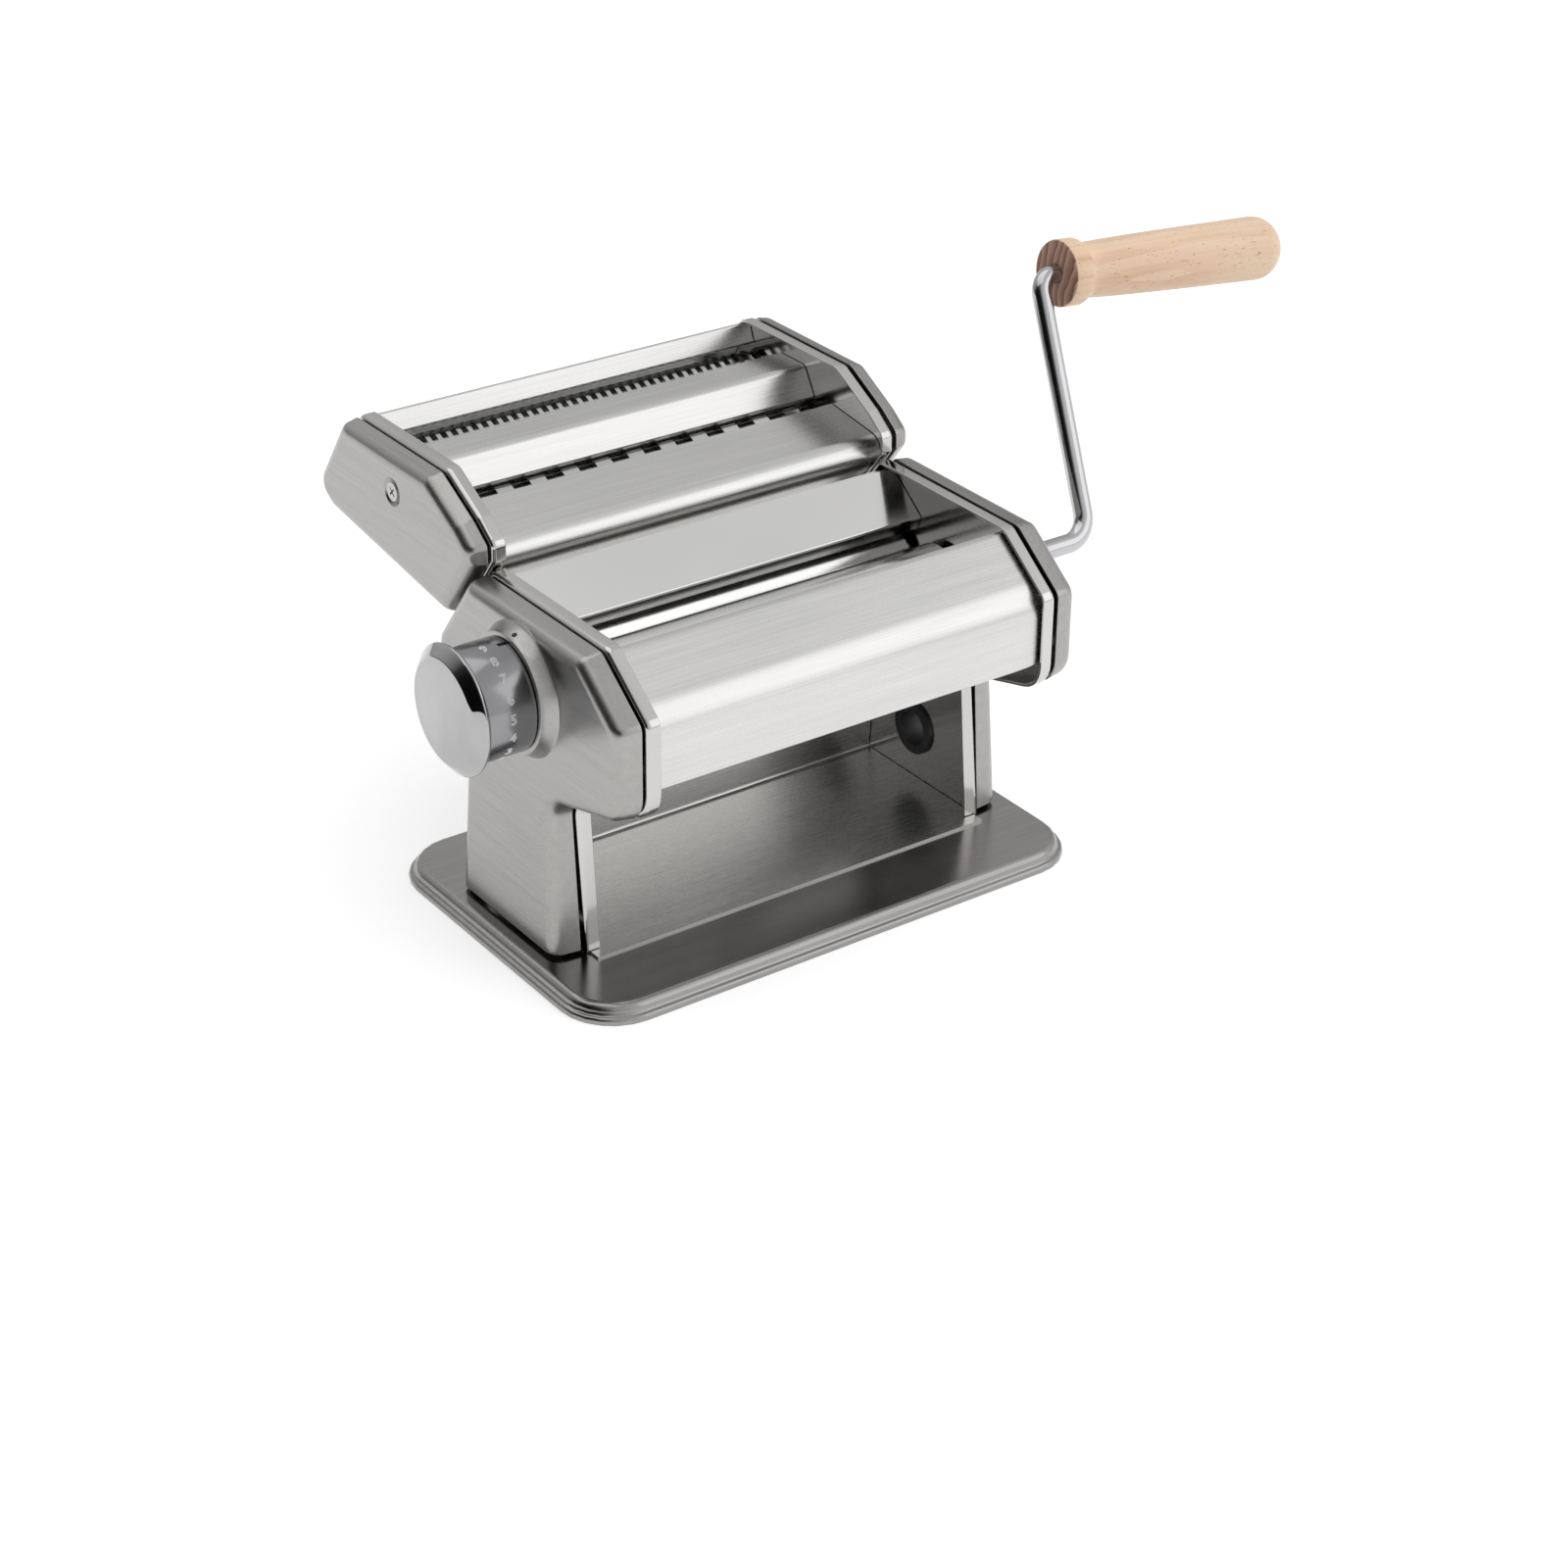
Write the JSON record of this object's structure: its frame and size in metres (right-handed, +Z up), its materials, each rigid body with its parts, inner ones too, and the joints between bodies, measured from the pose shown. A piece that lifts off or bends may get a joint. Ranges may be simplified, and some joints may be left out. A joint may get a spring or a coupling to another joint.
{
  "type": "manual pasta roller machine",
  "caption": "Hand-cranked steel pasta machine: two smooth rollers, thickness dial, slide-on unit with a wide and a narrow cutter, crank with beech handle.",
  "frame": {"origin": "centre of the base on the table", "axes": "+X along the rollers to the crank, -Y to the front, +Z up"},
  "size_m": [0.377, 0.1887, 0.1799],
  "materials": {
    "brushed_steel": "fine brushed stainless sheet",
    "polished_steel": "polished, nearly mirror",
    "roller_steel": "ground and satin",
    "machine_steel": "plain zinc-plated",
    "dark_plastic": "moulded, slightly glossy",
    "rubber": "plain soft rubber",
    "beech": "turned and smooth, unvarnished"
  },
  "bodies": {
    "stand": {"base_tray": "brushed_steel", "rubber_feet": "rubber", "base_screws": "machine_steel", "left_side_plate": "polished_steel", "right_side_plate": "polished_steel", "left_side_cover": "brushed_steel", "right_side_cover": "brushed_steel", "exit_tray": "brushed_steel", "front_cover": "brushed_steel", "feed_plate": "brushed_steel", "rear_cover": "brushed_steel", "front_scraper": "machine_steel", "tie_rods": "machine_steel", "tie_rod_screws": "machine_steel", "clamp_bush": "dark_plastic", "drive_bushes": "dark_plastic", "dial_bush": "dark_plastic"},
    "drive": {"drive_roller": "roller_steel", "drive_gear": "machine_steel"},
    "crank": {"crank_arm": "polished_steel"},
    "handle": {"crank_handle": "beech"},
    "adjuster": {"adjuster_blocks": "dark_plastic", "adjuster_link": "machine_steel", "rear_scraper": "machine_steel"},
    "adjustable": {"adjustable_roller": "roller_steel", "adjustable_gear": "machine_steel"},
    "dial": {"dial_spindle": "machine_steel", "dial_barrel": "polished_steel", "dial_knob": "polished_steel"},
    "cutter_unit": {"cutter_left_plate": "polished_steel", "cutter_right_plate": "polished_steel", "cutter_left_cover": "brushed_steel", "cutter_right_cover": "brushed_steel", "cutter_rear_plate": "brushed_steel", "cutter_bridge_plate": "brushed_steel", "cutter_front_cover": "brushed_steel", "cutter_tie_rods": "machine_steel", "cutter_cover_screws": "machine_steel", "cutter_bushes": "dark_plastic", "wide_combs": "machine_steel", "narrow_combs": "machine_steel", "guide_lugs": "machine_steel"},
    "wide_front": {"wide_cutter_front": "roller_steel", "wide_gear_front": "machine_steel"},
    "wide_rear": {"wide_cutter_rear": "roller_steel", "wide_gear_rear": "machine_steel"},
    "narrow_front": {"narrow_cutter_front": "roller_steel", "narrow_gear_front": "machine_steel"},
    "narrow_rear": {"narrow_cutter_rear": "roller_steel", "narrow_gear_rear": "machine_steel"}
  },
  "joints": [
    {"name": "drive_spin", "type": "hinge", "parent": "stand", "child": "drive", "pos_m": [0, -0.008, 0.087], "axis": [1, 0, 0], "continuous": true},
    {"name": "crank_pull", "type": "slide", "parent": "drive", "child": "crank", "axis": [1, 0, 0], "range_m": [0, 0.03]},
    {"name": "handle_spin", "type": "hinge", "parent": "crank", "child": "handle", "pos_m": [0.15191, 0.03546, 0.16874], "axis": [0.9954, -0.045, -0.0846], "continuous": true},
    {"name": "gap_slide", "type": "slide", "parent": "stand", "child": "adjuster", "axis": [0, 1, 0], "range_m": [0, 0.0022]},
    {"name": "adjustable_spin", "type": "hinge", "parent": "adjuster", "child": "adjustable", "pos_m": [0, 0.0213, 0.087], "axis": [1, 0, 0], "continuous": true},
    {"name": "dial_turn", "type": "hinge", "parent": "stand", "child": "dial", "pos_m": [0, -0.0095, 0.0965], "axis": [-1, 0, 0], "range_deg": [0, 180]},
    {"name": "cutter_lift", "type": "slide", "parent": "stand", "child": "cutter_unit", "axis": [0, -0.6024, 0.7982], "range_m": [0, 0.045]},
    {"name": "wide_front_spin", "type": "hinge", "parent": "cutter_unit", "child": "wide_front", "pos_m": [0, 0.0547, 0.1195], "axis": [1, 0, 0], "continuous": true},
    {"name": "wide_rear_spin", "type": "hinge", "parent": "cutter_unit", "child": "wide_rear", "pos_m": [0, 0.0693, 0.1195], "axis": [1, 0, 0], "continuous": true},
    {"name": "narrow_front_spin", "type": "hinge", "parent": "cutter_unit", "child": "narrow_front", "pos_m": [0, 0.0892, 0.127], "axis": [1, 0, 0], "continuous": true},
    {"name": "narrow_rear_spin", "type": "hinge", "parent": "cutter_unit", "child": "narrow_rear", "pos_m": [0, 0.1038, 0.127], "axis": [1, 0, 0], "continuous": true}
  ],
  "couplings": [
    {"joint": "adjustable_spin", "follows": "drive_spin", "ratio": -1},
    {"joint": "dial_turn", "follows": "gap_slide", "rad_per_m": 1428},
    {"joint": "wide_rear_spin", "follows": "wide_front_spin", "ratio": -1},
    {"joint": "narrow_rear_spin", "follows": "narrow_front_spin", "ratio": -1}
  ]
}
